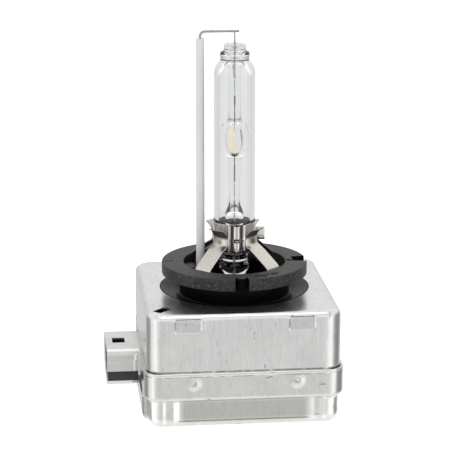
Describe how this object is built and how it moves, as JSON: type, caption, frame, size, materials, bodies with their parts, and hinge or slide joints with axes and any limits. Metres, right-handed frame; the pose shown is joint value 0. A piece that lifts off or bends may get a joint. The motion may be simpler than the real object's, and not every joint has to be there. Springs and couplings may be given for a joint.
{
  "type": "headlight bulb",
  "caption": "Xenon discharge headlight bulb: quartz burner with ceramic return tube, black locating ring on strap legs, and a two-piece metal igniter box with a side connector.",
  "frame": {"origin": "bulb axis at the top face of the locating ring, which is the lamp's reference plane", "axes": "+Z along the burner towards its tip, +X away from the connector, -Y towards the side with the ring's narrow keyway"},
  "size_m": [0.0499, 0.0456, 0.0822],
  "materials": {
    "ring_plastic": "glass-filled, worn satin",
    "socket_plastic": "smooth black moulding",
    "shell_upper": "deep-drawn, brushed",
    "shell_lower": "deep-drawn, brushed",
    "plug_metal": "folded sheet",
    "plug_plastic": "moulded",
    "pin_metal": "tinned",
    "quartz_outer": "clear quartz",
    "quartz_inner": "clear quartz",
    "tungsten": "drawn",
    "molybdenum": "rolled foil",
    "lead_metal": "drawn wire",
    "salts": "dried salt",
    "wire_nickel": "drawn wire",
    "ceramic_white": "unglazed sintered",
    "collar_steel": "spring sheet",
    "leg_steel": "spring sheet, heat tint at the welds",
    "terminal_brass": "stamped",
    "carrier_plastic": "moulded",
    "frame_brass": "stamped",
    "ferrite": "sintered",
    "bobbin_plastic": "moulded",
    "copper_fine": "enamelled wire",
    "copper_strip": "flat strip",
    "gap_ceramic": "sintered",
    "gap_metal": "nickel-plated",
    "capacitor_case": "dipped",
    "resistor_body": "lacquered"
  },
  "bodies": {
    "root": {"base_ring": "ring_plastic", "turret_housing": "socket_plastic", "top_shell": "shell_upper", "bottom_shell": "shell_lower", "connector_shroud": "plug_metal", "connector_insert": "plug_plastic", "contact_pins": "pin_metal", "outer_bulb": "quartz_outer", "arc_tube": "quartz_inner", "lower_electrode": "tungsten", "upper_electrode": "tungsten", "lower_foil": "molybdenum", "upper_foil": "molybdenum", "lower_lead": "lead_metal", "upper_lead": "lead_metal", "salt_pool": "salts", "return_wire": "wire_nickel", "ceramic_tube": "ceramic_white", "clamp_collar": "collar_steel", "leg_front_left": "leg_steel", "leg_front_right": "leg_steel", "leg_rear_left": "leg_steel", "leg_rear_right": "leg_steel", "hv_terminal": "terminal_brass", "return_terminal": "terminal_brass", "carrier_plate": "carrier_plastic", "lead_frame": "frame_brass", "transformer_core": "ferrite", "transformer_bobbin": "bobbin_plastic", "secondary_winding": "copper_fine", "primary_winding": "copper_strip", "spark_gap_body": "gap_ceramic", "spark_gap_caps": "gap_metal", "pulse_capacitor": "capacitor_case", "bleeder_resistor": "resistor_body"}
  },
  "joints": []
}
